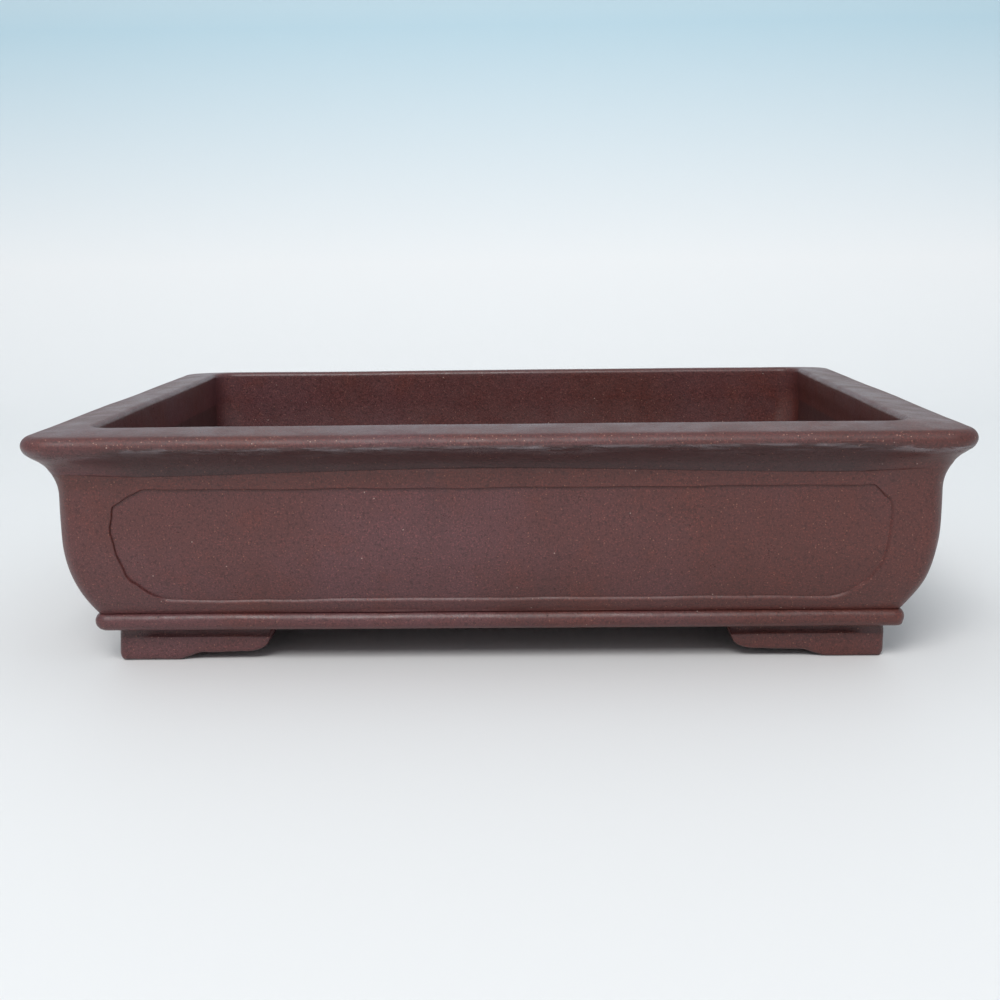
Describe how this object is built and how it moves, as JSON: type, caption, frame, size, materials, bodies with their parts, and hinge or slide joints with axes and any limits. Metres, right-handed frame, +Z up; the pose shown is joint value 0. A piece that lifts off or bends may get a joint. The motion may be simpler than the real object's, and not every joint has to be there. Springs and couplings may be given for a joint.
{
  "type": "bonsai pot",
  "caption": "Rectangular unglazed stoneware bonsai pot with a flared mitred lip, sunken wall panels, a half-round belt at the waist, cloud-shaped corner feet and a drained floor.",
  "frame": {"origin": "middle of the footprint, on the plane the feet stand on", "axes": "+X along the length, +Y from the front face to the back face, +Z up"},
  "size_m": [0.5, 0.39, 0.132],
  "materials": {
    "clay": "matte, unglazed, finely speckled"
  },
  "bodies": {
    "root": {"floor_slab": "clay", "front_wall": "clay", "back_wall": "clay", "left_wall": "clay", "right_wall": "clay", "front_border": "clay", "back_border": "clay", "left_border": "clay", "right_border": "clay", "front_lip": "clay", "back_lip": "clay", "left_lip": "clay", "right_lip": "clay", "front_belt": "clay", "back_belt": "clay", "left_belt": "clay", "right_belt": "clay", "corner_coil_front_left": "clay", "corner_coil_front_right": "clay", "corner_coil_back_left": "clay", "corner_coil_back_right": "clay", "floor_coil_front": "clay", "floor_coil_back": "clay", "floor_coil_left": "clay", "floor_coil_right": "clay", "foot_front_left": "clay", "foot_front_right": "clay", "foot_back_left": "clay", "foot_back_right": "clay"}
  },
  "joints": []
}
